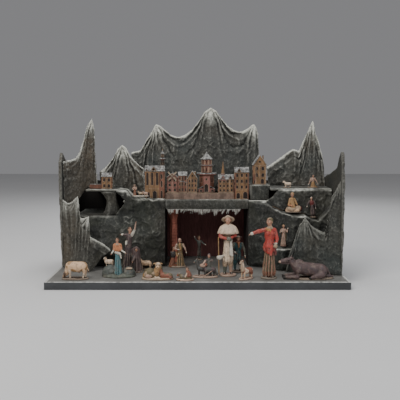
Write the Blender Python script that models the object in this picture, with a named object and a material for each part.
"""Nativity rock: a table-top crib mountain of rock paper over a wooden carcass.

A flat board carries a back panel, two side walls and a few shelves. Sheets of
crumpled, glued and painted rock paper, hard when dry, are hung over stakes from shelf to shelf and make the
cliffs and peaks. A small town of painted houses stands on the middle shelf, an
open stable is below it, and terracotta figures stand on the board and ledges.
The front faces -Y, +X is to the right of someone looking at it, Z is up.
"""
import math

import bmesh
import bpy
from mathutils import Matrix, Vector
from mathutils.bvhtree import BVHTree

# Board and wooden carcass, in metres
BOARD_W = 0.900
BOARD_D = 0.480
BOARD_T = 0.024
BOARD_EDGE = 0.002
PANEL_T = 0.006
SIDE_INSET = 0.007
BACK_INSET = 0.012
BACK_H = 0.268
SHELF_T = 0.008
GAP = 0.0003

# Heights above the board top
SUMMIT_H = 0.527
VILLAGE_H = 0.216
LEFT_SHELF_H = 0.251
RIGHT_SHELF_H = 0.256
NICHE_H = 0.165
HILL_H = 0.266

# Rock paper and stakes
SHEET_T = 0.0045
FOLD_DEPTH = 0.010
STAKE_R = 0.0040
NOTCH_H = 0.044
TIP_ROUNDING = 1.55
PEAK_RIGHT = 0.910
PILLAR_R = 0.0125

# Stable under the village
STABLE_LEFT = -0.109
STABLE_RIGHT = 0.163
COLUMN_X = -0.082
COLUMN_SHARE = 0.352
COLUMN_W = 0.026
COLUMN_CAP_H = 0.162
FRINGE_DROP = 0.027
FRINGE_TEETH = 17
LINTEL_H = 0.032
LINTEL_T = 0.014

# Village: width, depth, eave height and ridge rise of each house
PLINTH_H = 0.022
PLINTH_D = 0.072
PLINTH_Y = 0.034
HOUSE_SETBACK = 0.006
ARCADE_W, ARCADE_D, ARCADE_EAVE, ARCADE_RISE = 0.064, 0.044, 0.094, 0.017
PINK_W, PINK_D, PINK_EAVE, PINK_RISE = 0.028, 0.034, 0.056, 0.012
MILL_W, MILL_D, MILL_EAVE, MILL_RISE = 0.034, 0.036, 0.050, 0.014
GABLE_W, GABLE_D, GABLE_EAVE, GABLE_RISE = 0.030, 0.036, 0.046, 0.025
SPIRE_W, SPIRE_D, SPIRE_EAVE, SPIRE_RISE = 0.050, 0.036, 0.044, 0.015
SPIRE_R, SPIRE_TOP, SPIRE_SHARE = 0.0085, 0.104, 0.31
GATE_W, GATE_D, GATE_EAVE, GATE_RISE = 0.046, 0.050, 0.090, 0.016
HILL_W, HILL_D, HILL_EAVE, HILL_RISE = 0.042, 0.042, 0.064, 0.033
LEFT_W, LEFT_D, LEFT_EAVE, LEFT_RISE = 0.034, 0.030, 0.040, 0.012
TOWER_R = 0.036
TOWER_FOOT_R = 0.028
TOWER_DRUM_R = 0.0195
TOWER_H = 0.136
MINARET_R = 0.0085
MINARET_H = 0.168
ALLEY_W = 0.008
HOUSE_GAP = 0.0006
HILL_SETBACK = 0.014
YARD_WALL_W, YARD_WALL_H, YARD_WALL_T = 0.040, 0.016, 0.005
SAIL_R = 0.021
SAIL_T = 0.0016
SAIL_W = 0.007
PIN_R = 0.0014
PIN_L = 0.0072
PIN_CLEAR = 0.0003

# Figures: full heights or lengths, and the thickness of the bases they are modelled on
FOOT_T = 0.005
LEDGE_FOOT_T = 0.003
COW_L = 0.088
MOUND_W = 0.106
SHEPHERDESS_H = 0.114
CLOAK_H = 0.150
GOAT_L = 0.050
REST_W = 0.102
SLEEP_W = 0.056
DONKEY_W = 0.084
CAPED_H = 0.190
BOY_H = 0.114
FAWN_L = 0.060
FAWN_TURN = math.radians(38)
RED_H = 0.186
STEP_CHILD_H = 0.068
OX_L = 0.156
COLUMN_PAIR_H = 0.094
DANCER_H = 0.084
RECLINE_W = 0.060
CLIMBER_H = 0.066
SHELF_GOAT_L = 0.030
SEATED_H = 0.052
FLOCK_W = 0.058

INNER = BOARD_W / 2 - SIDE_INSET - PANEL_T
TOP = BOARD_T
VILLAGE_Z = TOP + VILLAGE_H
LEFT_Z = TOP + LEFT_SHELF_H
RIGHT_Z = TOP + RIGHT_SHELF_H
NICHE_Z = TOP + NICHE_H
HILL_Z = TOP + HILL_H
BACK_Y = BOARD_D / 2 - BACK_INSET - PANEL_T
SHELF_FRONT = 0.0
STABLE_DEPTH = BOARD_D * 0.34375
SPHERE = []


def clear_scene():
    for ob in list(bpy.data.objects):
        bpy.data.objects.remove(ob, do_unlink=True)


def material(name, colour, rough, metal=0.0):
    mat = bpy.data.materials.new(name)
    mat.use_nodes = True
    shader = mat.node_tree.nodes["Principled BSDF"]
    shader.inputs["Base Color"].default_value = (*colour, 1.0)
    shader.inputs["Roughness"].default_value = rough
    shader.inputs["Metallic"].default_value = metal
    mat.diffuse_color = (*colour, 1.0)
    return mat


def add_object(name, bm, colour, rough=0.8, at=(0, 0, 0), turn=0.0, parent=None, smooth=40.0):
    """Turn a bmesh into a named object with its own material."""
    bmesh.ops.recalc_face_normals(bm, faces=bm.faces[:])
    mesh = bpy.data.meshes.new(name)
    bm.to_mesh(mesh)
    bm.free()
    mesh.materials.append(material(name + "_paint", colour, rough))
    if smooth:
        mesh.shade_smooth()
        mesh.set_sharp_from_angle(angle=math.radians(smooth))
    ob = bpy.data.objects.new(name, mesh)
    ob.location = at
    ob.rotation_euler = (0, 0, turn)
    bpy.context.collection.objects.link(ob)
    if parent:
        ob.parent = parent
    return ob


def across(share):
    """X of a point given as a share of the half width between the side walls."""
    return share * INNER


def deep(share):
    """Y of a point given as a share of the board's depth, 0 at the front edge."""
    return (share - 0.5) * BOARD_D


def up(share):
    """Z of a point given as a share of the summit's height over the board."""
    return TOP + share * SUMMIT_H


def box(bm, x0, x1, y0, y1, z0, z1):
    """Add a box between three pairs of limits and return its vertices."""
    made = bmesh.ops.create_cube(bm, size=1.0)["verts"]
    for v in made:
        v.co = Vector((x1 if v.co.x > 0 else x0, y1 if v.co.y > 0 else y0, z1 if v.co.z > 0 else z0))
    return made


def plank(name, x0, x1, y0, y1, z0, z1, colour, edge=0.001):
    """A sawn board with its edges eased."""
    bm = bmesh.new()
    box(bm, x0, x1, y0, y1, z0, z1)
    bmesh.ops.bevel(bm, geom=bm.edges[:], offset=edge, segments=1, profile=0.5,
                    affect="EDGES", clamp_overlap=True, material=-1)
    return add_object(name, bm, colour, 0.85, smooth=0)


def hang(a, b, t):
    """Height of a sheet pulled from a high end down to a low end: round at the tip, then steep."""
    falls = a[2] >= b[2]
    high, low = (a, b) if falls else (b, a)
    from_high = t if falls else 1.0 - t
    power = high[3] if isinstance(high[3], (int, float)) else high[3][1 if falls else 0]
    bell = ((1.0 + math.cos(math.pi * from_high)) / 2.0) ** TIP_ROUNDING
    return low[2] + (high[2] - low[2]) * max(bell, (1.0 - from_high) ** power)


def spread(ribs, steps, hung):
    """Points along a guide curve through its ribs, with `steps` columns in each span."""
    line = []
    for k in range(len(ribs) - 1):
        a, b = ribs[k], ribs[k + 1]
        for i in range(steps):
            t = i / steps
            z = hang(a, b, t) if hung else a[2] + (b[2] - a[2]) * t
            line.append(Vector((a[0] + (b[0] - a[0]) * t, a[1] + (b[1] - a[1]) * t, z)))
    line.append(Vector(ribs[-1][:3]))
    return line


def drape(name, guides, steps, colour, folds=3.0, phase=0.0, fold=1.0, sub=2, thick=None):
    """A stiff sheet of rock paper lofted through guide curves, rim first and hem last.

    Each guide is (ribs, into), where `into` points from the face to the back of the
    sheet. Folds run from rim to hem along the ribs, so they fan out below a peak.
    """
    thick = SHEET_T if thick is None else thick
    lines = [spread(ribs, steps, k == 0) for k, (ribs, into) in enumerate(guides)]
    ways = [Vector(into).normalized() for ribs, into in guides]
    columns = len(lines[0])
    face, back = [], []
    for k in range(len(lines) - 1):
        last = k == len(lines) - 2
        for s in range(sub + (1 if last else 0)):
            t = s / sub
            v = (k + t) / (len(lines) - 1)
            way = ways[k].lerp(ways[k + 1], t).normalized()
            swell = fold * FOLD_DEPTH * math.sin(math.pi * min(1.0, v * 1.25)) ** 0.7 if 0 < v < 0.8 else 0.0
            row_face, row_back = [], []
            for i in range(columns):
                p = lines[k][i].lerp(lines[k + 1][i], t)
                u = i / (columns - 1)
                wave = 0.5 + 0.5 * math.cos(2 * math.pi * (folds * u * (len(guides[0][0]) - 1) / 2 + phase))
                p = p - way * swell * wave * min(1.0, 6 * u, 6 * (1 - u))
                row_face.append(p)
                row_back.append(p + way * thick)
            face.append(row_face)
            back.append(row_back)
    return shell(name, face, back, colour)


def shell(name, face, back, colour, rough=0.9, smooth=50.0):
    """Close two matching grids of points into one solid."""
    bm = bmesh.new()
    f = [[bm.verts.new(p) for p in row] for row in face]
    b = [[bm.verts.new(p) for p in row] for row in back]
    rows, cols = len(f), len(f[0])
    for r in range(rows - 1):
        for c in range(cols - 1):
            bm.faces.new((f[r][c], f[r + 1][c], f[r + 1][c + 1], f[r][c + 1]))
            bm.faces.new((b[r][c], b[r][c + 1], b[r + 1][c + 1], b[r + 1][c]))
    for c in range(cols - 1):
        bm.faces.new((f[0][c], f[0][c + 1], b[0][c + 1], b[0][c]))
        bm.faces.new((f[-1][c + 1], f[-1][c], b[-1][c], b[-1][c + 1]))
    for r in range(rows - 1):
        bm.faces.new((f[r + 1][0], f[r][0], b[r][0], b[r + 1][0]))
        bm.faces.new((f[r][-1], f[r + 1][-1], b[r + 1][-1], b[r][-1]))
    return add_object(name, bm, colour, rough, smooth=smooth)


def rest_on(ob, supports, reach=0.4):
    """Lower an object straight down until it lies one gap above what carries it."""
    bpy.context.view_layer.update()
    own = tree_of(ob)
    drop = reach
    for carrier in supports:
        under = tree_of(carrier)
        for v in ob.data.vertices:
            start = ob.matrix_world @ v.co
            hit = under.ray_cast(start, Vector((0, 0, -1)), reach)
            if hit[0]:
                drop = min(drop, hit[3])
        for v in carrier.data.vertices:
            start = carrier.matrix_world @ v.co
            hit = own.ray_cast(start, Vector((0, 0, 1)), reach)
            if hit[0]:
                drop = min(drop, hit[3])
        for e in carrier.data.edges:
            ends = [carrier.matrix_world @ carrier.data.vertices[i].co for i in e.vertices]
            for s in range(1, 8):
                hit = own.ray_cast(ends[0].lerp(ends[1], s / 8), Vector((0, 0, 1)), reach)
                if hit[0]:
                    drop = min(drop, hit[3])
    ob.location.z -= drop - GAP
    bpy.context.view_layer.update()
    return ob


def tree_of(ob):
    points = [ob.matrix_world @ v.co for v in ob.data.vertices]
    return BVHTree.FromPolygons(points, [tuple(p.vertices) for p in ob.data.polygons])


WOOD = (0.16, 0.11, 0.07)
ROCK = (0.105, 0.11, 0.095)
ROCK_BROWN = (0.17, 0.14, 0.10)


def base_board():
    bm = bmesh.new()
    box(bm, -BOARD_W / 2, BOARD_W / 2, -BOARD_D / 2, BOARD_D / 2, 0.0, BOARD_T)
    bmesh.ops.bevel(bm, geom=bm.edges[:], offset=BOARD_EDGE, segments=2, profile=0.5,
                    affect="EDGES", clamp_overlap=True, material=-1)
    return add_object("base_board", bm, (0.20, 0.25, 0.29), 0.7, smooth=30)


def carcass():
    """Back panel and the shelves that run back to it."""
    plank("back_panel", -INNER, INNER, BACK_Y, BACK_Y + PANEL_T, TOP + GAP, TOP + BACK_H, WOOD)
    back = BACK_Y - GAP
    plank("village_shelf", across(-0.56), across(0.54), SHELF_FRONT, back,
          VILLAGE_Z - SHELF_T, VILLAGE_Z, WOOD)
    plank("left_shelf", across(-0.847), across(-0.60), deep(0.54), back, LEFT_Z - SHELF_T, LEFT_Z, WOOD)
    plank("right_shelf", across(0.545), INNER, deep(0.48), back, RIGHT_Z - SHELF_T, RIGHT_Z, WOOD)
    plank("niche_floor", across(-0.93), across(-0.60), deep(0.495), back, NICHE_Z - SHELF_T, NICHE_Z, WOOD)


def side_wall(name, side, front, rim, colour):
    """A paper-covered end wall: flat inside, folded and leaning out a little outside."""
    inner, face = [], []
    rows, steps = 7, 3
    line = spread(rim, steps, True)
    for r in range(rows):
        v = r / (rows - 1)
        row_in, row_out = [], []
        for i, p in enumerate(line):
            z = TOP + GAP + (p.z - TOP - GAP) * (1 - v)
            pull = front - rim[0][1]
            y = p.y + (pull * v if i == 0 else pull * v * (1 - i / (len(line) - 1)))
            lean = (SIDE_INSET - 0.0006) * (1 - v) ** 0.6
            ripple = 0.0016 * (0.5 + 0.5 * math.cos(2.1 * i + 2 * v)) * v * (1 - v) * 4
            row_in.append(Vector((side * (INNER + GAP), y, z)))
            row_out.append(Vector((side * (INNER + PANEL_T + min(SIDE_INSET - 0.0004, lean + ripple)), y, z)))
        inner.append(row_in)
        face.append(row_out)
    return shell(name, face, inner, colour)


def side_walls():
    back = BACK_Y + PANEL_T
    side_wall("left_side_wall", -1, deep(0.43),
              [(0, deep(0.445), up(0.655), 1.4), (0, deep(0.495), up(0.706), 1.6),
               (0, deep(0.60), up(0.66), 1.4),
               (0, deep(0.80), up(0.60), 1.3), (0, back, up(0.52), 1.3)], ROCK_BROWN)
    side_wall("right_side_wall", 1, deep(0.165),
              [(0, deep(0.215), up(0.655), 1.6), (0, deep(0.255), up(0.716), 1.9),
               (0, deep(0.40), up(0.61), 1.5),
               (0, deep(0.66), up(0.565), 1.3), (0, back, up(0.50), 1.3)], ROCK)


def rocks():
    """The draped sheets, from the back ranges to the front cliffs."""
    into_y, into_z, into_yz = (0, 1, 0), (0, 0, -1), (0, 1, -1)
    floor = TOP + GAP
    left = LEFT_Z + GAP
    town = VILLAGE_Z + GAP
    right = RIGHT_Z + GAP

    rim = [(across(-0.997), deep(0.480), up(0.655), 1.5), (across(-0.955), deep(0.560), up(0.660), 1.5),
           (across(-0.830), deep(0.750), up(0.922), (2.1, 0.2)),
           (across(-0.803), deep(0.755), up(0.600), 0.45)]
    hem = [(across(-0.997), deep(0.480), NICHE_Z + 0.028), (across(-0.930), deep(0.515), NICHE_Z + 0.030),
           (across(-0.860), deep(0.640), left), (across(-0.775), deep(0.700), left)]
    drape("rock_left_peak", [(rim, into_y), (hem, into_y)], 5, ROCK_BROWN, folds=5, phase=0.2, sub=5)

    rim = [(across(-0.785), deep(0.790), up(0.575), 1.4), (across(-0.600), deep(0.795), up(0.750), 1.35),
           (across(-0.430), deep(0.785), up(0.598), 1.2)]
    hem = [(across(-0.765), deep(0.760), left), (across(-0.601), deep(0.750), left),
           (across(-0.400), deep(0.740), town)]
    drape("rock_left_crag", [(rim, into_y), (hem, into_y)], 5, ROCK, folds=4, phase=0.5, sub=4)

    rim = [(across(-0.545), deep(0.928), up(0.700), 1.3), (across(-0.470), deep(0.928), up(0.712), 1.0),
           (across(-0.406), deep(0.928), up(0.800), 1.0),
           (across(-0.342), deep(0.928), up(0.889), (1.0, 1.9)),
           (across(-0.150), deep(0.938), up(0.803), 1.5), (across(0.104), deep(0.928), up(1.0), 1.55),
           (across(0.337), deep(0.938), up(0.837), 1.6), (across(0.460), deep(0.928), up(0.889), (1.5, 0.2)),
           (across(0.500), deep(0.930), up(0.640), 0.5)]
    hem = [(across(-0.545), deep(0.860), town), (across(-0.485), deep(0.850), town),
           (across(-0.430), deep(0.838), town), (across(-0.370), deep(0.825), town),
           (across(-0.170), deep(0.845), town), (across(0.095), deep(0.815), town),
           (across(0.310), deep(0.845), town), (across(0.440), deep(0.830), town),
           (across(0.515), deep(0.860), town)]
    drape("rock_centre_range", [(rim, into_y), (hem, into_y)], 5, ROCK, folds=3.6, phase=0.1, sub=5)

    rim = [(across(0.550), deep(0.845), up(0.600), 1.2), (across(0.758), deep(0.792), up(0.724), 1.0),
           (across(0.798), deep(0.792), up(0.712), 1.2), (across(0.835), deep(0.792), up(0.786), 1.0),
           (across(PEAK_RIGHT), deep(0.792), up(0.913), (1.0, 1.4)),
           (across(0.952), deep(0.780), up(0.775), 1.0),
           (across(0.980), deep(0.760), up(0.688), 1.0), (across(0.994), deep(0.740), up(0.600), 0.8)]
    hem = [(across(0.560), deep(0.790), right), (across(0.740), deep(0.735), right),
           (across(0.795), deep(0.740), right), (across(0.835), deep(0.730), right),
           (across(0.885), deep(0.715), right), (across(0.930), deep(0.708), right),
           (across(0.965), deep(0.700), right), (across(0.994), deep(0.690), right)]
    drape("rock_right_range", [(rim, into_y), (hem, into_y)], 4, ROCK, folds=2.6, phase=0.3, sub=5)

    rim = [(across(-0.996), deep(0.455), up(0.425), 1.2), (across(-0.958), deep(0.445), up(0.398), 1.2),
           (across(-0.876), deep(0.406), up(0.444), 2.0), (across(-0.850), deep(0.385), up(0.310), 0.9),
           (across(-0.790), deep(0.365), up(0.326), 1.6), (across(-0.775), deep(0.354), up(0.200), 0.8),
           (across(-0.625), deep(0.330), up(0.125), 1.0)]
    mid = [(across(-0.996), deep(0.445), up(0.20)), (across(-0.940), deep(0.420), up(0.19)),
           (across(-0.890), deep(0.385), up(0.20)), (across(-0.850), deep(0.360), up(0.17)),
           (across(-0.815), deep(0.340), up(0.17)), (across(-0.785), deep(0.320), up(0.12)),
           (across(-0.690), deep(0.315), up(0.085))]
    hem = [(across(-0.996), deep(0.440), floor), (across(-0.950), deep(0.395), floor),
           (across(-0.910), deep(0.350), floor), (across(-0.870), deep(0.325), floor),
           (across(-0.835), deep(0.305), floor), (across(-0.800), deep(0.295), floor),
           (across(-0.765), deep(0.300), floor)]
    drape("rock_left_front", [(rim, into_y), (mid, into_y), (hem, into_y)], 3, ROCK_BROWN, folds=3, sub=2)

    lip = deep(0.495) - GAP - SHEET_T
    rim = [(across(-0.905), lip, NICHE_Z - 0.001, 1.0), (across(-0.760), lip, NICHE_Z + 0.001, 1.0),
           (across(-0.615), lip, NICHE_Z - 0.001, 1.0)]
    mid = [(across(-0.905), deep(0.470), up(0.18)), (across(-0.740), deep(0.435), up(0.17)),
           (across(-0.605), deep(0.430), up(0.16))]
    hem = [(across(-0.880), deep(0.500), floor), (across(-0.740), deep(0.480), floor),
           (across(-0.605), deep(0.450), floor)]
    drape("rock_niche_face", [(rim, into_y), (mid, into_y), (hem, into_y)], 4, ROCK, folds=3, sub=2)

    pillar(left)

    ledge = [(across(-0.598), LEFT_Z + 0.001), (across(-0.540), LEFT_Z - 0.004),
             (across(-0.492), VILLAGE_Z + 0.0095),
             (across(-0.412), VILLAGE_Z + 0.0065), (across(-0.330), VILLAGE_Z + 0.0055),
             (across(-0.242), VILLAGE_Z + 0.0052)]
    reach = [0.70, 0.70, 0.69, 0.535, 0.53, 0.525]
    back = [(x, deep(d), z, 1.0) for (x, z), d in zip(ledge, reach)]
    lip = [(x, SHELF_FRONT, z) for x, z in ledge]
    brow = [(x, SHELF_FRONT - 0.010, z - 0.005) for x, z in ledge]
    under = [(x, SHELF_FRONT - 0.006, z - 0.034) for x, z in ledge]
    under[0] = (ledge[1][0], SHELF_FRONT - 0.006, VILLAGE_Z - 0.002)
    under[1] = ((ledge[1][0] + ledge[2][0]) / 2, SHELF_FRONT - 0.006, VILLAGE_Z - 0.008)
    crest = [(x, SHELF_FRONT - 0.008, VILLAGE_Z - NOTCH_H) for x, z in ledge]
    belly = [(x, deep(d), up(0.20)) for (x, z), d in
             zip(ledge, [0.455, 0.425, 0.410, 0.415, 0.430, 0.465])]
    hem = [(x, deep(d), floor) for (x, z), d in zip(ledge, [0.445, 0.400, 0.385, 0.395, 0.425, 0.470])]
    drape("rock_grotto_left", [(back, into_z), (lip, into_z), (brow, into_yz), (under, into_y),
                               (crest, into_y), (belly, into_y), (hem, into_y)], 3, ROCK, folds=2.4,
                               phase=0.6,
          fold=0.55, sub=1)

    face = SHELF_FRONT - GAP - SHEET_T
    shelf = deep(0.48) - GAP - SHEET_T
    steps = [(across(0.378), face, VILLAGE_Z - 0.002, 1), (across(0.500), face, VILLAGE_Z - 0.002, 1),
             (across(0.545), shelf - 0.012, VILLAGE_Z + 0.012, 1), (across(0.600), shelf, RIGHT_Z - 0.002, 1),
             (across(0.690), shelf, RIGHT_Z - 0.002, 1), (across(0.780), shelf, RIGHT_Z - 0.002, 1),
             (across(0.880), shelf, RIGHT_Z - 0.002, 1), (across(0.994), shelf, RIGHT_Z - 0.002, 1)]
    slope = [(0.378, 0.475, 0.400), (0.490, 0.440, 0.395), (0.560, 0.405, 0.365), (0.610, 0.375, 0.345),
             (0.690, 0.358, 0.325), (0.780, 0.352, 0.322), (0.880, 0.372, 0.290), (0.994, 0.360, 0.400)]
    shelf_y = [0.480, 0.465, 0.450, 0.440, 0.440, 0.440, 0.440, 0.440]
    ledge = [(across(a), deep(d), up(h) + 0.006) for (a, _, h), d in zip(slope, shelf_y)]
    brow = [(across(a), deep(d), up(h)) for a, d, h in slope]
    under = [(across(a), deep(d + 0.004), up(h - 0.06)) for a, d, h in slope]
    shelf_d = [0.478, 0.440, 0.405, 0.375, 0.365, 0.375, 0.385, 0.375]
    above = [(across(s[0]), deep(d), up(0.150)) for s, d in zip(slope, shelf_d)]
    step_d = [0.478, 0.430, 0.350, 0.315, 0.345, 0.375, 0.385, 0.375]
    step = [(across(s[0]), deep(d), up(0.130)) for s, d in zip(slope, step_d)]
    hem = [(across(s[0]), deep(d + 0.002), floor) for s, d in zip(slope, step_d)]
    drape("rock_right_slope", [(steps, into_y), (ledge, into_yz), (brow, into_yz), (under, into_y),
                               (above, into_y),
                               (step, into_yz), (hem, into_y)], 2, ROCK, folds=2.2, phase=0.4, fold=0.5,
                               sub=1)

    rim = [(across(0.645), deep(0.300), up(0.085), 1.0), (across(0.726), deep(0.300), up(0.281), 1.0),
           (across(0.766), deep(0.300), up(0.327), 1.4), (across(0.835), deep(0.300), up(0.265), 1.2),
           (across(0.905), deep(0.290), up(0.237), 1.0), (across(0.945), deep(0.265), up(0.456), 1.5),
           (across(0.996), deep(0.235), up(0.560), 1.2)]
    mid = [(across(0.640), deep(0.290), up(0.045)), (across(0.705), deep(0.280), up(0.14)),
           (across(0.760), deep(0.265), up(0.16)), (across(0.825), deep(0.260), up(0.14)),
           (across(0.890), deep(0.245), up(0.13)), (across(0.945), deep(0.225), up(0.20)),
           (across(0.996), deep(0.200), up(0.24))]
    hem = [(across(0.630), deep(0.290), floor), (across(0.690), deep(0.265), floor),
           (across(0.750), deep(0.240), floor), (across(0.815), deep(0.230), floor),
           (across(0.880), deep(0.215), floor), (across(0.940), deep(0.190), floor),
           (across(0.996), deep(0.168), floor)]
    drape("rock_right_front", [(rim, into_y), (mid, into_y), (hem, into_y)], 3, ROCK, folds=3, phase=0.2,
          sub=2)


def pillar(left):
    """Rock post between the two niches, flared at both ends, under the left shelf."""
    bm = bmesh.new()
    rings, sides = 6, 9
    z0, z1 = NICHE_Z + GAP, LEFT_Z - SHELF_T - GAP
    x, y = across(-0.655), deep(0.575)
    loops = []
    for r in range(rings):
        t = r / (rings - 1)
        width = PILLAR_R + 0.010 * (1 - t) ** 2.2 + 0.004 * t ** 3
        sweep = 0.020 * (1 - t) ** 3 + 0.022 * t ** 4
        loop = []
        for s in range(sides):
            a = 2 * math.pi * s / sides
            k = width * (1 + 0.16 * math.cos(3 * a + 2.0 * t)) + sweep * max(0.0, -math.cos(a))
            loop.append(bm.verts.new((x + k * math.cos(a) + 0.006 * (1 - t), y + 0.85 * k * math.sin(a),
                                      z0 + (z1 - z0) * t)))
        loops.append(loop)
    close_loops(bm, loops)
    return add_object("rock_pillar", bm, ROCK, 0.9, smooth=50)


def close_loops(bm, loops):
    """Skin a stack of equal loops and cap both ends."""
    n = len(loops[0])
    for a, b in zip(loops[:-1], loops[1:]):
        for i in range(n):
            bm.faces.new((a[i], a[(i + 1) % n], b[(i + 1) % n], b[i]))
    bm.faces.new(list(reversed(loops[0])))
    bm.faces.new(loops[-1])


def lintel():
    """Rock beam along the front of the village shelf, and the thatch fringe under it."""
    bm = bmesh.new()
    x0, x1 = across(-0.240), across(0.376)
    stations = 11
    profile = [(0.0, 0.0), (1.0, 0.0), (1.15, 0.5), (0.85, 0.97), (0.35, 1.0), (0.0, 0.88)]
    loops = []
    for i in range(stations):
        t = i / (stations - 1)
        bulge = 1 + 0.14 * math.cos(9.0 * t + 1.0) * math.sin(math.pi * t)
        z0 = VILLAGE_Z + 0.005 - LINTEL_H
        loops.append([bm.verts.new((x0 + (x1 - x0) * t,
                                    SHELF_FRONT - GAP - a * LINTEL_T * 0.8 * bulge,
                                    z0 + b * LINTEL_H * (0.95 + 0.05 * bulge)))
                      for a, b in profile])
    close_loops(bm, loops)
    add_object("rock_lintel", bm, ROCK_BROWN, 0.9, smooth=50)

    bm = bmesh.new()
    top = VILLAGE_Z + 0.005 - LINTEL_H - GAP
    left, right = x0 + 0.003, x1 - 0.003
    count = 2 * FRINGE_TEETH
    upper, lower = [], []
    for i in range(count + 1):
        x = left + (right - left) * i / count
        ragged = 0.5 + 0.5 * math.cos(2.4 * i) * math.cos(0.9 * i)
        drop = FRINGE_DROP * (0.74 + 0.26 * ragged) if i % 2 else 0.35 * FRINGE_DROP
        upper.append((x, top))
        lower.append((x, top - drop))
    y0 = SHELF_FRONT - 0.010
    face = [[Vector((x, y0, z)) for x, z in upper], [Vector((x, y0 - 0.001, z)) for x, z in lower]]
    back = [[p + Vector((0, 0.0035, 0)) for p in row] for row in face]
    bm.free()
    shell("thatch_fringe", face, back, (0.42, 0.40, 0.36), smooth=0)


def stable():
    top = VILLAGE_Z - SHELF_T - GAP
    plank("stable_wall_left", STABLE_LEFT - PANEL_T, STABLE_LEFT, SHELF_FRONT + 0.004, STABLE_DEPTH + 0.012,
          TOP + GAP, top, (0.06, 0.045, 0.04))
    plank("stable_wall_right", STABLE_RIGHT, STABLE_RIGHT + PANEL_T, SHELF_FRONT + 0.004,
          STABLE_DEPTH + 0.012,
          TOP + GAP, top, (0.06, 0.045, 0.04))
    bm = bmesh.new()
    x0, x1 = STABLE_LEFT + GAP, STABLE_RIGHT - GAP
    box(bm, x0, x1, STABLE_DEPTH, STABLE_DEPTH + PANEL_T, TOP + GAP, top)
    planks = 6
    for i in range(1, planks):
        x = x0 + (x1 - x0) * i / planks
        for off in (-0.0008, 0.0008):
            bmesh.ops.bisect_plane(bm, geom=bm.verts[:] + bm.edges[:] + bm.faces[:], plane_co=(x + off, 0, 0),
                                   plane_no=(1, 0, 0))
    grooves = [f for f in bm.faces if f.calc_center_median().y < STABLE_DEPTH + 0.001
               and f.calc_area() < 0.0017 * (top - TOP)]
    out = bmesh.ops.extrude_discrete_faces(bm, faces=grooves)
    for f in out["faces"]:
        bmesh.ops.translate(bm, verts=f.verts[:], vec=(0, 0.0015, 0))
    add_object("stable_back", bm, (0.10, 0.025, 0.022), 0.8, smooth=0)

    bm = bmesh.new()
    w = COLUMN_W / 2
    column_y = STABLE_DEPTH * COLUMN_SHARE
    z0, z1 = TOP + GAP, top
    cap = TOP + COLUMN_CAP_H
    levels = [(z0, 1.22), (z0 + 0.010, 1.22), (z0 + 0.014, 1.0), (cap - 0.012, 0.96), (cap - 0.008, 1.16),
              (cap - 0.003, 1.16), (cap, 1.32), (cap + 0.006, 1.32), (cap + 0.008, 1.05), (z1, 1.05)]
    loops = []
    for z, k in levels:
        loop = []
        for i in range(8):
            a = math.pi / 8 + i * math.pi / 4
            r = w * k / math.cos(math.pi / 8)
            loop.append(bm.verts.new((COLUMN_X + r * math.cos(a), column_y + r * math.sin(a), z)))
        loops.append(loop)
    close_loops(bm, loops)
    add_object("stable_column", bm, (0.33, 0.10, 0.07), 0.8, smooth=0)


def stakes():
    """Round stakes that hold the three tallest peaks up from behind."""
    for name, x, y, z0, z1 in (
            ("stake_left", across(-0.832), deep(0.750), LEFT_Z, up(0.860)),
            ("stake_centre", across(0.104), deep(0.928), VILLAGE_Z, up(0.955)),
            ("stake_right", across(PEAK_RIGHT), deep(0.792), RIGHT_Z, up(0.850))):
        bm = bmesh.new()
        h = z1 - z0 - GAP
        bmesh.ops.create_cone(bm, cap_ends=True, segments=8, radius1=STAKE_R, radius2=STAKE_R * 0.8, depth=h,
                              matrix=Matrix.Translation((x, y + SHEET_T + STAKE_R + GAP, z0 + GAP + h / 2)))
        add_object(name, bm, WOOD, 0.9, smooth=40)


def house(name, x0, w, y0, d, z0, eave, rise, cols, rows, colour, along=False, door=0.0):
    """A house of one solid: walls, gabled roof with eaves, sunk windows and a door."""
    bm = bmesh.new()
    x1, y1, z1 = x0 + w, y0 + d, z0 + eave
    box(bm, x0, x1, y0, y1, z0, z1)
    pitch = w / cols
    ww = pitch * 0.46
    row_h = (eave - door) / rows
    wh = row_h * 0.52
    xs, zs = [], []
    for c in range(cols):
        mid = x0 + pitch * (c + 0.5)
        xs += [mid - ww / 2, mid + ww / 2]
    for r in range(rows):
        low = z0 + door + row_h * (r + 0.22)
        zs += [low, low + wh]
    if door:
        zs.append(z0 + door * 0.78)
    for x in xs:
        cut(bm, (x, 0, 0), (1, 0, 0))
    for z in zs:
        cut(bm, (0, 0, z), (0, 0, 1))
    holes = []
    for f in bm.faces:
        c = f.calc_center_median()
        if abs(c.y - y0) > 1e-6:
            continue
        in_x = any(xs[2 * k] < c.x < xs[2 * k + 1] for k in range(cols))
        in_z = any(zs[2 * r] < c.z < zs[2 * r + 1] for r in range(rows))
        is_door = door and c.z < z0 + door * 0.78 and xs[0] < c.x < xs[1]
        if (in_x and in_z) or is_door:
            holes.append(f)
    out = bmesh.ops.extrude_discrete_faces(bm, faces=holes)
    for f in out["faces"]:
        bmesh.ops.translate(bm, verts=f.verts[:], vec=(0, 0.0022, 0))
        c = f.calc_center_median()
        for v in f.verts:
            if v.co.z > c.z:
                v.co.x = c.x + (v.co.x - c.x) * 0.55
    roof(bm, x0, x1, y0, y1, z1, rise, along)
    return add_object(name, bm, colour, 0.85, smooth=0)


def cut(bm, co, no):
    bmesh.ops.bisect_plane(bm, geom=bm.verts[:] + bm.edges[:] + bm.faces[:], plane_co=co, plane_no=no)


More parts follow.
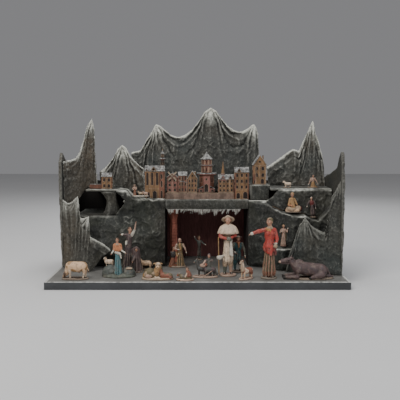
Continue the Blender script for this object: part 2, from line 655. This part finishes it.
def roof(bm, x0, x1, y0, y1, z, rise, along):
    """Raise the flat top of a house into a gable whose ridge runs along X or along Y."""
    top = [f for f in bm.faces if f.calc_center_median().z > z - 1e-6]
    out = bmesh.ops.extrude_face_region(bm, geom=top)
    bmesh.ops.delete(bm, geom=top, context="FACES")
    lid = [v for v in out["geom"] if isinstance(v, bmesh.types.BMVert)]
    eave = 0.0015
    mx, my = (x0 + x1) / 2, (y0 + y1) / 2
    for v in lid:
        v.co.z += 0.0018
        v.co.x += eave if v.co.x > x1 - 1e-6 else (-eave if v.co.x < x0 + 1e-6 else 0)
        v.co.y += eave if v.co.y > y1 - 1e-6 else (-eave if v.co.y < y0 + 1e-6 else 0)
    cut(bm, (mx, my, 0), (0, 1, 0) if along else (1, 0, 0))
    half = (y1 - y0) / 2 + eave if along else (x1 - x0) / 2 + eave
    for v in bm.verts:
        if v.co.z > z + 0.001:
            off = abs(v.co.y - my) if along else abs(v.co.x - mx)
            v.co.z += rise * (1 - off / half)


def turned(name, profile, x, y, colour, sides=10, smooth=30.0):
    """A round or many-sided tower turned from its (radius, height) profile."""
    bm = bmesh.new()
    loops = []
    for r, z in profile:
        loops.append([bm.verts.new((x + r * math.cos(2 * math.pi * (i + 0.5) / sides),
                                    y + r * math.sin(2 * math.pi * (i + 0.5) / sides), z))
                      for i in range(sides)])
    close_loops(bm, loops)
    return add_object(name, bm, colour, 0.85, smooth=smooth)


def village():
    """The town on its plinth, laid out from left to right by the houses' own widths."""
    z0 = VILLAGE_Z + GAP
    zp = VILLAGE_Z + GAP + PLINTH_H + GAP
    y0 = PLINTH_Y + HOUSE_SETBACK
    start = across(-0.252)
    eave = 0.0015
    x = start - HOUSE_GAP - ARCADE_W
    house("arcade_house", x, ARCADE_W, PLINTH_Y - 0.008, ARCADE_D, z0, ARCADE_EAVE, ARCADE_RISE, 4, 2,
          (0.36, 0.22, 0.13), along=True, door=0.036)
    x = start + ALLEY_W
    row = [("windmill_house", MILL_W, MILL_D, MILL_EAVE, MILL_RISE, 2, 2, (0.42, 0.26, 0.16), False),
           ("pink_house", PINK_W, PINK_D, PINK_EAVE, PINK_RISE, 2, 3, (0.40, 0.18, 0.14), True),
           ("gable_house", GABLE_W, GABLE_D, GABLE_EAVE, GABLE_RISE, 2, 2, (0.38, 0.21, 0.14), False)]
    for name, w, d, e, r, cols, rows, colour, along in row:
        ob = house(name, x, w, y0, d, zp, e, r, cols, rows, colour, along=along, door=0.0)
        if name == "windmill_house":
            windmill(ob, x + w / 2, y0, zp + e + 0.001)
        x += w + 2 * eave + HOUSE_GAP
    tx = x + TOWER_FOOT_R + 0.001
    ty = y0 + TOWER_R
    r, s = TOWER_DRUM_R, TOWER_H
    turned("round_tower", [(TOWER_FOOT_R, zp), (TOWER_FOOT_R, zp + 0.42 * s), (TOWER_R, zp + 0.45 * s),
                           (TOWER_R, zp + 0.475 * s), (r, zp + 0.485 * s), (r, zp + 0.64 * s),
                           (r * 1.16, zp + 0.655 * s), (r * 1.16, zp + 0.672 * s), (r * 0.96, zp + 0.682 * s),
                           (r * 0.96, zp + 0.81 * s), (r * 1.14, zp + 0.825 * s), (r * 0.08, zp + s)],
           tx, ty, (0.40, 0.20, 0.13), sides=8, smooth=0)
    r, s = MINARET_R, MINARET_H
    turned("minaret", [(r, z0), (r * 0.85, z0 + 0.60 * s), (r * 1.1, z0 + 0.62 * s), (r * 1.1, z0 + 0.64 * s),
                       (r * 0.8, z0 + 0.65 * s), (r * 0.8, z0 + 0.76 * s), (r * 1.45, z0 + 0.79 * s),
                       (r * 1.45, z0 + 0.82 * s), (r * 0.6, z0 + 0.84 * s), (r * 0.6, z0 + 0.91 * s),
                       (r * 0.1, z0 + s)],
           start - r - 0.001, PLINTH_Y - 0.008 + ARCADE_D + r + 0.004, (0.16, 0.12, 0.09), sides=8)
    x = tx + TOWER_R + 0.001 + HOUSE_GAP + eave
    ob = house("spire_house", x, SPIRE_W, y0, SPIRE_D, zp, SPIRE_EAVE, SPIRE_RISE, 3, 2, (0.40, 0.24, 0.13),
               along=True)
    spire(ob, x + SPIRE_W * SPIRE_SHARE, y0 + SPIRE_D / 2, zp + SPIRE_EAVE, zp + SPIRE_TOP)
    x += SPIRE_W + eave
    end = x + HOUSE_GAP
    plank("village_plinth", start, end, PLINTH_Y, PLINTH_Y + PLINTH_D, z0, z0 + PLINTH_H, (0.30, 0.18, 0.13))
    x = end + HOUSE_GAP + eave
    house("gate_tower", x, GATE_W, PLINTH_Y - 0.006, GATE_D, z0, GATE_EAVE, GATE_RISE, 2, 3,
          (0.36, 0.20, 0.11), along=True, door=0.032)
    x += GATE_W + eave + 0.004
    hill(x)
    x, y, z = across(-0.735), deep(0.575), LEFT_Z + GAP
    tower = house("left_tower", x, LEFT_W, y, LEFT_D, z, LEFT_EAVE, LEFT_RISE, 2, 2, (0.34, 0.21, 0.12),
                  along=True)
    yard = bmesh.new()
    box(yard, x - YARD_WALL_W, x + 0.002, y + 0.010, y + 0.010 + YARD_WALL_T, z, z + YARD_WALL_H)
    fuse(tower, yard, "yard_wall")


def spire(ob, x, y, z0, z1):
    """A slender six-sided spire that rises from the ridge of a house."""
    bm = bmesh.new()
    bmesh.ops.create_cone(bm, cap_ends=True, segments=6, radius1=SPIRE_R, radius2=0.0006, depth=z1 - z0,
                          matrix=Matrix.Translation((x, y, (z0 + z1) / 2)))
    fuse(ob, bm, "spire")


def windmill(ob, x, y, z):
    """A pin on the mill's gable and four sails turning on it."""
    hub = bmesh.new()
    y_front = y - 0.0015 - PIN_L
    bore, rim = PIN_R + PIN_CLEAR, PIN_R + PIN_CLEAR + 0.0016
    hub_z = z + 0.004
    blades = 4
    per = 4
    n = blades * per
    outline = []
    for k in range(blades):
        a = k * math.pi / 2 + math.radians(38)
        along = Vector((math.cos(a), 0, math.sin(a)))
        side = Vector((-math.sin(a), 0, math.cos(a)))
        outline += [along * rim - side * 0.0006, along * SAIL_R - side * 0.0006,
                    along * SAIL_R + side * SAIL_W,
                    along * (rim * 1.5) + side * SAIL_W * 0.6]
    bores = []
    for p in outline:
        a = math.atan2(p.z, p.x)
        bores.append(Vector((bore * math.cos(a), 0, bore * math.sin(a))))
    front, back, fin, bin_ = [], [], [], []
    for p, q in zip(outline, bores):
        front.append(hub.verts.new((p.x, -SAIL_T / 2, p.z)))
        back.append(hub.verts.new((p.x, SAIL_T / 2, p.z)))
        fin.append(hub.verts.new((q.x, -SAIL_T / 2, q.z)))
        bin_.append(hub.verts.new((q.x, SAIL_T / 2, q.z)))
    for i in range(n):
        j = (i + 1) % n
        hub.faces.new((front[i], front[j], fin[j], fin[i]))
        hub.faces.new((back[j], back[i], bin_[i], bin_[j]))
        hub.faces.new((front[j], front[i], back[i], back[j]))
        hub.faces.new((fin[i], fin[j], bin_[j], bin_[i]))
    axle = bpy.data.objects.new("sail_axle", None)
    axle.location = (x, y_front + 0.0032, hub_z)
    bpy.context.collection.objects.link(axle)
    sails = add_object("windmill_sails", hub, (0.45, 0.36, 0.28), 0.8, smooth=0, parent=axle)
    peg(ob, x, hub_z, y_front, y + 0.004)
    return sails


def peg(ob, x, z, y0, y1):
    """Fuse the headed sail pin into the gable wall."""
    bm = bmesh.new()
    head = PIN_R + 0.0012
    for r, a, b in ((PIN_R, y0 + 0.0016, y1), (head, y0, y0 + 0.0016)):
        loops = []
        for y in (a, b):
            loops.append([bm.verts.new((x + r * math.cos(2 * math.pi * i / 8), y,
                                        z + r * math.sin(2 * math.pi * i / 8))) for i in range(8)])
        close_loops(bm, loops)
    fuse(ob, bm, "sail_pin")


def fuse(ob, bm, name):
    """Join a second solid to an object so that both are one body."""
    bmesh.ops.recalc_face_normals(bm, faces=bm.faces[:])
    mesh = bpy.data.meshes.new(name)
    bm.to_mesh(mesh)
    bm.free()
    tool = bpy.data.objects.new(name + "_cutter", mesh)
    tool.hide_render = True
    tool.display_type = "WIRE"
    bpy.context.collection.objects.link(tool)
    join = ob.modifiers.new(name, "BOOLEAN")
    join.operation = "UNION"
    join.solver = "EXACT"
    join.use_self = True
    join.object = tool


def hill(x):
    """The block of rock at the right of the village and the tall house on it."""
    bm = bmesh.new()
    x1 = across(0.540)
    y0, y1 = SHELF_FRONT + 0.018, PLINTH_Y + 0.078
    box(bm, x, x1, y0, y1, VILLAGE_Z + GAP, HILL_Z)
    for t in (0.3, 0.65):
        cut(bm, (x + (x1 - x) * t, 0, 0), (1, 0, 0))
    cut(bm, (0, 0, VILLAGE_Z + (HILL_Z - VILLAGE_Z) * 0.45), (0, 0, 1))
    for v in bm.verts:
        if v.co.y < y0 + 1e-6 and v.co.z > VILLAGE_Z + 0.001:
            v.co.y += 0.004 + 0.004 * math.cos(170 * v.co.x + 90 * v.co.z)
    ob = add_object("rock_hill", bm, ROCK, 0.9, smooth=0)
    mid = (x + x1) / 2
    width = min(HILL_W, x1 - x - 0.004)
    house("hill_house", mid - width / 2, width, y0 + HILL_SETBACK, HILL_D, HILL_Z + GAP, HILL_EAVE,
          HILL_RISE, 3, 3,
          (0.46, 0.30, 0.14))
    return ob


def capsule(bm, p, r, q, s):
    """Round bar between two balls of their own radii."""
    points = [Vector(p) + d * r for d in sphere_points()] + [Vector(q) + d * s for d in sphere_points()]
    fresh = [bm.verts.new(c) for c in points]
    hull = bmesh.ops.convex_hull(bm, input=fresh)
    spare = [e for e in hull["geom_interior"] if isinstance(e, bmesh.types.BMVert)]
    bmesh.ops.delete(bm, geom=spare, context="VERTS")


def sphere_points():
    """Directions of the corners of an even ball."""
    if not SPHERE:
        bm = bmesh.new()
        bmesh.ops.create_icosphere(bm, subdivisions=2, radius=1.0)
        SPHERE.extend(v.co.copy() for v in bm.verts)
        bm.free()
    return SPHERE


def ball(bm, c, radii, detail=2):
    place = Matrix.Translation(c) @ Matrix.Diagonal((*radii, 1.0))
    bmesh.ops.create_icosphere(bm, subdivisions=detail, radius=1.0, matrix=place)


def slab(bm, rx, ry, t, x=0.0, y=0.0, sides=14):
    """Flat oval base, sunk a little below zero so that its underside can be cut flat."""
    place = Matrix.Translation((x, y, (t - 0.004) / 2)) @ Matrix.Diagonal((rx, ry, 1.0, 1.0))
    bmesh.ops.create_cone(bm, cap_ends=True, segments=sides, radius1=1.0, radius2=0.94,
                          depth=t + 0.004, matrix=place)


def modelled(name, bm, fine, faces, colour, at, turn=0.0):
    """Fuse overlapping lumps into one body of clay, thin its facets and cut its foot flat."""
    mesh = bpy.data.meshes.new(name + "_lumps")
    bm.to_mesh(mesh)
    bm.free()
    lump = bpy.data.objects.new(name + "_lumps", mesh)
    bpy.context.collection.objects.link(lump)
    fuse = lump.modifiers.new("fuse", "REMESH")
    fuse.mode = "VOXEL"
    fuse.voxel_size = fine
    fuse.adaptivity = 0.0
    bpy.context.view_layer.update()
    dense = lump.evaluated_get(bpy.context.evaluated_depsgraph_get())
    count = sum(len(p.vertices) - 2 for p in dense.data.polygons)
    thin = lump.modifiers.new("thin", "DECIMATE")
    thin.ratio = min(1.0, faces / count)
    bpy.context.view_layer.update()
    light = lump.evaluated_get(bpy.context.evaluated_depsgraph_get())
    out = bmesh.new()
    out.from_mesh(light.data)
    bpy.data.objects.remove(lump, do_unlink=True)
    bmesh.ops.bisect_plane(out, geom=out.verts[:] + out.edges[:] + out.faces[:], plane_co=(0, 0, 0.0004),
                           plane_no=(0, 0, 1), clear_inner=True)
    drop_flaps(out)
    rims = [e for e in out.edges if e.is_boundary]
    bmesh.ops.contextual_create(out, geom=rims)
    bmesh.ops.translate(out, verts=out.verts[:], vec=(0, 0, -0.0004))
    bmesh.ops.triangulate(out, faces=out.faces[:])
    bmesh.ops.dissolve_degenerate(out, dist=1e-5, edges=out.edges[:])
    return add_object(name, out, colour, 0.75, at=at, turn=turn, smooth=60)


def drop_flaps(bm):
    """Remove the folded-over triangles that thinning pinches off where a tiny gap closes."""
    left = set(bm.verts)
    while left:
        group, queue = set(), [left.pop()]
        while queue:
            v = queue.pop()
            group.add(v)
            for e in v.link_edges:
                other = e.other_vert(v)
                if other in left:
                    left.remove(other)
                    queue.append(other)
        if len(group) < 5:
            bmesh.ops.delete(bm, geom=list(group), context="VERTS")


def person(bm, h, x=0.0, y=0.0, z=0.0, lean=0.0, girth=1.0, hands=(), kneel=False, hat=0.0, hem=0.12):
    """A standing or kneeling clay person of height h: robe, chest, head and arms."""
    drop = 0.27 if kneel else 0.0

    def at(px, py, pz):
        return Vector((x + h * (px + lean * (pz - drop)), y + h * py, z + h * (pz - drop)))
    g = girth * h
    foot = Vector((x, y, z + 0.02 * h))
    capsule(bm, foot, hem * g, at(0, 0, 0.56), 0.072 * g)
    if kneel:
        capsule(bm, foot, hem * g, foot + Vector((0.13 * h, 0.02 * h, 0)), 0.08 * g)
    ball(bm, at(0, 0, 0.70), (0.098 * g, 0.070 * g, 0.135 * h))
    capsule(bm, at(-0.075 * girth, 0, 0.79), 0.036 * h, at(0.075 * girth, 0, 0.79), 0.036 * h)
    capsule(bm, at(0, 0, 0.80), 0.034 * h, at(0, -0.005, 0.88), 0.032 * h)
    ball(bm, at(0, -0.010, 0.925), (0.050 * h, 0.058 * h, 0.070 * h))
    if hat:
        ball(bm, at(0, 0, 0.955), (hat * h, hat * h, (0.02 if h > 0.1 else 0.05) * h))
        ball(bm, at(0, 0, 0.975), (0.050 * h, 0.050 * h, 0.035 * h))
    for side, elbow, hand in hands:
        shoulder = at(0.095 * girth * side, 0, 0.785)
        capsule(bm, shoulder, 0.036 * g, at(*elbow), 0.032 * h)
        capsule(bm, at(*elbow), 0.030 * h, at(*hand), 0.022 * h)


def beast(bm, s, head, x=0.0, y=0.0, z=0.0, lying=False, flip=1, horns=0.0, fat=1.0, dip=0.06, snout=0.07):
    """A four-legged animal of length s, its head at `head`, looking along -X * flip."""
    def at(px, py, pz):
        return Vector((x + flip * s * px, y + s * py, z + s * pz))
    mid = 0.20 if lying else 0.43
    f = fat * s
    capsule(bm, at(0.26, 0, mid), 0.160 * f, at(-0.16, 0, mid + 0.01), 0.150 * f)
    ball(bm, at(0.05, 0, mid - 0.03), (0.26 * f, 0.155 * f, 0.15 * f))
    capsule(bm, at(-0.20, 0, mid + 0.03), 0.110 * f, at(head[0] + 0.05, 0, head[1] + 0.02), 0.070 * f)
    capsule(bm, at(head[0] + 0.04, 0, head[1] + 0.02), 0.070 * f, at(head[0] - snout, 0, head[1] - dip),
            0.040 * f)
    for k in (-1, 1):
        ball(bm, at(head[0] + 0.075, 0.075 * k, head[1] + 0.045), (0.022 * s, 0.040 * s, 0.022 * s))
        if horns:
            capsule(bm, at(head[0] + 0.05, 0.045 * k, head[1] + 0.08), 0.020 * s,
                    at(head[0] + 0.04, 0.085 * k, head[1] + 0.08 + horns), 0.014 * s)
        if lying:
            capsule(bm, at(-0.20, 0.11 * k, 0.05), 0.050 * s, at(-0.40, 0.09 * k, 0.045), 0.035 * s)
            capsule(bm, at(0.27, 0.12 * k, 0.09), 0.085 * f, at(0.08, 0.15 * k, 0.045), 0.035 * s)
        else:
            capsule(bm, at(-0.17, 0.085 * k, mid - 0.05), 0.060 * f, at(-0.18 - 0.03 * k, 0.08 * k, 0.02),
                    0.036 * s)
            capsule(bm, at(0.30, 0.085 * k, mid - 0.02), 0.078 * f, at(0.31 + 0.03 * k, 0.08 * k, 0.02),
                    0.036 * s)
    capsule(bm, at(0.41, 0, mid + 0.04), 0.024 * s, at(0.455, 0.0, mid - 0.20), 0.022 * s)


def board_figures():
    """Figures that stand on the board, from left to right."""
    z = TOP + GAP
    bm = bmesh.new()
    s = COW_L
    beast(bm, s, (-0.40, 0.20), horns=0.03)
    slab(bm, 0.47 * s, 0.18 * s, FOOT_T)
    modelled("cow", bm, COW_L / 63, 300, (0.45, 0.38, 0.26), (across(-0.835), deep(0.080), z))

    bm = bmesh.new()
    w = MOUND_W
    ball(bm, (-0.20 * w, 0, 0.06 * w), (0.30 * w, 0.25 * w, 0.30 * w))
    ball(bm, (0.22 * w, 0.01 * w, 0.04 * w), (0.27 * w, 0.24 * w, 0.26 * w))
    ball(bm, (0.0, -0.02 * w, 0.02 * w), (0.46 * w, 0.26 * w, 0.15 * w))
    person(bm, SHEPHERDESS_H * 0.98, x=0.0, y=-0.03 * w, z=0.113 * w, lean=-0.03,
           hands=((-1, (-0.15, -0.06, 0.66), (-0.05, -0.12, 0.60)),
                  (1, (0.15, -0.04, 0.66), (0.16, -0.12, 0.56))))
    beast(bm, 0.36 * w, (-0.30, 0.72), x=-0.30 * w, y=0.05 * w, z=0.26 * w, fat=1.1)
    modelled("shepherdess_on_mound", bm, MOUND_W / 66, 520, (0.16, 0.20, 0.18),
             (across(-0.548), deep(0.158), z))

    bm = bmesh.new()
    h = CLOAK_H
    capsule(bm, (-0.02 * h, 0, 0.02 * h), 0.11 * h, (0.0, 0, 0.50 * h), 0.070 * h)
    capsule(bm, (0.0, 0, 0.50 * h), 0.068 * h, (0.03 * h, 0, 0.76 * h), 0.060 * h)
    ball(bm, (0.04 * h, -0.02 * h, 0.890 * h), (0.045 * h, 0.050 * h, 0.060 * h))
    capsule(bm, (0.08 * h, -0.01 * h, 0.78 * h), 0.034 * h, (0.14 * h, -0.03 * h, 0.89 * h), 0.026 * h)
    capsule(bm, (0.14 * h, -0.03 * h, 0.89 * h), 0.024 * h, (0.175 * h, -0.05 * h, 1.085 * h), 0.017 * h)
    capsule(bm, (-0.02 * h, -0.02 * h, 0.78 * h), 0.034 * h, (-0.13 * h, -0.06 * h, 0.80 * h), 0.020 * h)
    capsule(bm, (0.17 * h, -0.01 * h, 0.03 * h), 0.11 * h, (0.16 * h, -0.01 * h, 0.45 * h), 0.09 * h)
    ball(bm, (0.18 * h, -0.08 * h, 0.50 * h), (0.045 * h, 0.048 * h, 0.056 * h))
    slab(bm, 0.25 * h, 0.14 * h, FOOT_T, x=0.06 * h)
    modelled("cloaked_group", bm, CLOAK_H / 80, 400, (0.20, 0.17, 0.15), (across(-0.498), deep(0.288), z))

    bm = bmesh.new()
    s = GOAT_L
    beast(bm, s, (-0.42, 0.72), horns=0.08)
    slab(bm, 0.46 * s, 0.20 * s, FOOT_T)
    modelled("standing_goat", bm, GOAT_L / 50, 240, (0.40, 0.31, 0.24), (across(-0.385), deep(0.358), z))

    bm = bmesh.new()
    w = REST_W
    slab(bm, 0.49 * w, 0.22 * w, FOOT_T)
    beast(bm, 0.62 * w, (-0.30, 0.66), x=-0.17 * w, y=0.02 * w, z=0.002, lying=True, flip=-1, fat=1.15,
          horns=0.05)
    beast(bm, 0.48 * w, (-0.34, 0.50), x=0.23 * w, y=-0.04 * w, z=0.002, lying=True, fat=1.2)
    modelled("resting_group", bm, REST_W / 78, 460, (0.40, 0.26, 0.19), (across(-0.272), deep(0.082), z))

    bm = bmesh.new()
    w = SLEEP_W
    slab(bm, 0.49 * w, 0.32 * w, FOOT_T)
    beast(bm, 0.84 * w, (-0.42, 0.34), lying=True, fat=1.15, horns=0.04)
    ball(bm, (0.18 * w, -0.10 * w, 0.42 * w), (0.16 * w, 0.13 * w, 0.20 * w))
    ball(bm, (0.12 * w, -0.14 * w, 0.62 * w), (0.10 * w, 0.10 * w, 0.11 * w))
    modelled("sleeping_group", bm, SLEEP_W / 51, 300, (0.38, 0.22, 0.15), (across(-0.085), deep(0.050), z))

    bm = bmesh.new()
    w = DONKEY_W
    slab(bm, 0.48 * w, 0.20 * w, FOOT_T)
    beast(bm, 0.66 * w, (-0.36, 0.86), x=-0.10 * w, y=0.02 * w, z=0.002, horns=0.10, fat=0.95)
    beast(bm, 0.60 * w, (-0.36, 0.20), x=0.20 * w, y=-0.06 * w, z=0.002, flip=-1, fat=1.0)
    capsule(bm, (0.10 * w, 0.06 * w, 0.05 * w), 0.13 * w, (0.14 * w, 0.05 * w, 0.66 * w), 0.06 * w)
    ball(bm, (0.14 * w, 0.03 * w, 0.76 * w), (0.06 * w, 0.06 * w, 0.075 * w))
    modelled("donkey_group", bm, DONKEY_W / 65, 420, (0.13, 0.10, 0.09), (across(0.052), deep(0.135), z))

    bm = bmesh.new()
    h = CAPED_H
    person(bm, h, girth=1.05, hat=0.115, hem=0.092,
           hands=((-1, (-0.155, -0.05, 0.665), (-0.05, -0.125, 0.65)),
                  (1, (0.15, -0.05, 0.665), (0.06, -0.12, 0.65))))
    ball(bm, (0, 0, 0.745 * h), (0.165 * h, 0.105 * h, 0.095 * h))
    ball(bm, (-0.13 * h, -0.05 * h, 0.245 * h), (0.055 * h, 0.05 * h, 0.045 * h))
    capsule(bm, (-0.14 * h, -0.04 * h, 0.26 * h), 0.022 * h, (-0.17 * h, -0.04 * h, 0.62 * h), 0.016 * h)
    slab(bm, 0.14 * h, 0.12 * h, FOOT_T)
    modelled("caped_man", bm, CAPED_H / 86, 460, (0.62, 0.57, 0.46), (across(0.212), deep(0.185), z))

    bm = bmesh.new()
    h = BOY_H
    person(bm, h, girth=1.15, lean=0.02,
           hands=((-1, (-0.19, -0.04, 0.62), (-0.08, -0.13, 0.56)),
                  (1, (0.18, -0.04, 0.62), (0.10, -0.13, 0.50))))
    slab(bm, 0.15 * h, 0.13 * h, FOOT_T)
    modelled("boy", bm, BOY_H / 63, 280, (0.10, 0.14, 0.12), (across(0.286), deep(0.290), z))

    bm = bmesh.new()
    s = FAWN_L
    beast(bm, s, (-0.33, 0.96), fat=0.92, horns=0.05)
    slab(bm, 0.46 * s, 0.22 * s, FOOT_T)
    modelled("standing_fawn", bm, FAWN_L / 50, 260, (0.50, 0.36, 0.24), (across(0.330), deep(0.078), z),
             turn=FAWN_TURN)

    bm = bmesh.new()
    h = RED_H
    person(bm, h, girth=0.98, hem=0.115, lean=0.01,
           hands=((-1, (-0.20, -0.06, 0.77), (-0.32, -0.10, 0.725)),
                  (1, (0.105, -0.03, 0.63), (0.065, -0.11, 0.55))))
    ball(bm, (0.0, 0.01 * h, 0.945 * h), (0.052 * h, 0.055 * h, 0.052 * h))
    capsule(bm, (0, 0, 0.41 * h), 0.108 * h, (0, 0, 0.62 * h), 0.070 * h)
    slab(bm, 0.135 * h, 0.12 * h, FOOT_T)
    modelled("red_jacket_woman", bm, RED_H / 85, 460, (0.45, 0.07, 0.05), (across(0.490), deep(0.108), z))

    bm = bmesh.new()
    s = OX_L
    beast(bm, s, (-0.36, 0.34), lying=True, horns=0.035, fat=0.84, dip=0.015, snout=0.13)
    slab(bm, 0.46 * s, 0.16 * s, FOOT_T, x=0.064 * s)
    modelled("lying_ox", bm, OX_L / 71, 400, (0.16, 0.10, 0.10), (across(0.748), deep(0.098), z))

    bm = bmesh.new()
    h = COLUMN_PAIR_H
    person(bm, h, x=0.10 * h, girth=1.15, lean=-0.03,
           hands=((-1, (-0.17, -0.06, 0.64), (-0.04, -0.12, 0.62)),
                  (1, (0.18, -0.04, 0.64), (0.22, -0.06, 0.50))))
    person(bm, 0.98 * h, x=-0.20 * h, y=-0.02 * h, kneel=True, lean=0.10, girth=1.0,
           hands=((1, (0.16, -0.06, 0.66), (0.20, -0.10, 0.76)),))
    slab(bm, 0.34 * h, 0.17 * h, FOOT_T, x=-0.02 * h)
    modelled("column_pair", bm, COLUMN_PAIR_H / 63, 380, (0.22, 0.15, 0.12), (across(-0.150), deep(0.455), z))

    bm = bmesh.new()
    h = DANCER_H
    person(bm, h, girth=0.85, hem=0.10,
           hands=((-1, (-0.14, -0.02, 0.86), (-0.20, -0.02, 1.0)),
                  (1, (0.16, -0.05, 0.70), (0.28, -0.08, 0.62))))
    slab(bm, 0.14 * h, 0.12 * h, FOOT_T)
    modelled("dancing_child", bm, DANCER_H / 70, 240, (0.17, 0.17, 0.16), (across(0.010), deep(0.700), z))


def ledge_figures():
    """Figures on the shelves and rock ledges, each lowered until it rests there."""
    z = RIGHT_Z + GAP
    bm = bmesh.new()
    s = SHELF_GOAT_L
    beast(bm, s, (-0.40, 0.66))
    slab(bm, 0.45 * s, 0.20 * s, LEDGE_FOOT_T)
    modelled("shelf_goat", bm, SHELF_GOAT_L / 40, 160, (0.55, 0.50, 0.40), (across(0.675), deep(0.540), z))

    bm = bmesh.new()
    h = SEATED_H
    person(bm, 1.15 * h, kneel=True, girth=1.15,
           hands=((-1, (-0.18, -0.05, 0.60), (-0.26, -0.08, 0.44)),
                  (1, (0.18, -0.05, 0.62), (0.24, -0.10, 0.50))))
    slab(bm, 0.36 * h, 0.22 * h, LEDGE_FOOT_T)
    modelled("seated_figure", bm, SEATED_H / 48, 180, (0.22, 0.12, 0.09), (across(0.870), deep(0.545), z))

    slope = bpy.data.objects["rock_right_slope"]
    bm = bmesh.new()
    w = RECLINE_W
    ball(bm, (0.04 * w, 0, 0.20 * w), (0.44 * w, 0.20 * w, 0.22 * w))
    capsule(bm, (0.05 * w, 0, 0.30 * w), 0.20 * w, (0.0, 0, 0.72 * w), 0.12 * w)
    ball(bm, (0.0, -0.02 * w, 0.96 * w), (0.095 * w, 0.10 * w, 0.12 * w))
    capsule(bm, (-0.10 * w, 0, 0.70 * w), 0.07 * w, (-0.30 * w, -0.05 * w, 0.40 * w), 0.05 * w)
    slab(bm, 0.44 * w, 0.19 * w, LEDGE_FOOT_T)
    ob = modelled("reclining_figure", bm, RECLINE_W / 50, 220, (0.50, 0.32, 0.12),
                  (across(0.700), deep(0.405), up(0.50)))
    rest_on(ob, [slope])

    bm = bmesh.new()
    h = CLIMBER_H
    person(bm, h, girth=1.15, lean=-0.10,
           hands=((-1, (-0.20, -0.04, 0.68), (-0.26, -0.06, 0.54)),
                  (1, (0.16, -0.04, 0.60), (0.14, -0.12, 0.46))))
    slab(bm, 0.15 * h, 0.13 * h, LEDGE_FOOT_T)
    ob = modelled("climber", bm, CLIMBER_H / 55, 180, (0.18, 0.06, 0.06),
                  (across(0.850), deep(0.410), up(0.50)))
    rest_on(ob, [slope])

    bm = bmesh.new()
    h = STEP_CHILD_H
    person(bm, h, girth=1.0,
           hands=((-1, (-0.16, -0.04, 0.64), (-0.10, -0.12, 0.70)),
                  (1, (0.17, -0.02, 0.66), (0.20, -0.04, 0.84))))
    slab(bm, 0.15 * h, 0.13 * h, LEDGE_FOOT_T)
    ob = modelled("step_child", bm, STEP_CHILD_H / 57, 180, (0.24, 0.13, 0.09),
                  (across(0.622), deep(0.346), up(0.25)))
    rest_on(ob, [slope])

    bm = bmesh.new()
    w = FLOCK_W
    slab(bm, 0.49 * w, 0.19 * w, LEDGE_FOOT_T)
    person(bm, 0.66 * w, x=-0.32 * w, hat=0.15, girth=1.2)
    beast(bm, 0.34 * w, (-0.40, 0.68), x=0.0, y=0.03 * w, z=0.002, fat=1.15)
    beast(bm, 0.34 * w, (-0.40, 0.68), x=0.28 * w, y=-0.05 * w, z=0.002, fat=1.15)
    ob = modelled("flock_group", bm, FLOCK_W / 66, 280, (0.42, 0.30, 0.20),
                  (across(-0.430), SHELF_FRONT + 0.004, up(0.60)))
    rest_on(ob, [bpy.data.objects["rock_grotto_left"], bpy.data.objects["village_shelf"]])


def main():
    clear_scene()
    base_board()
    carcass()
    side_walls()
    rocks()
    lintel()
    stable()
    stakes()
    village()
    board_figures()
    ledge_figures()


if __name__ == "__main__":
    main()
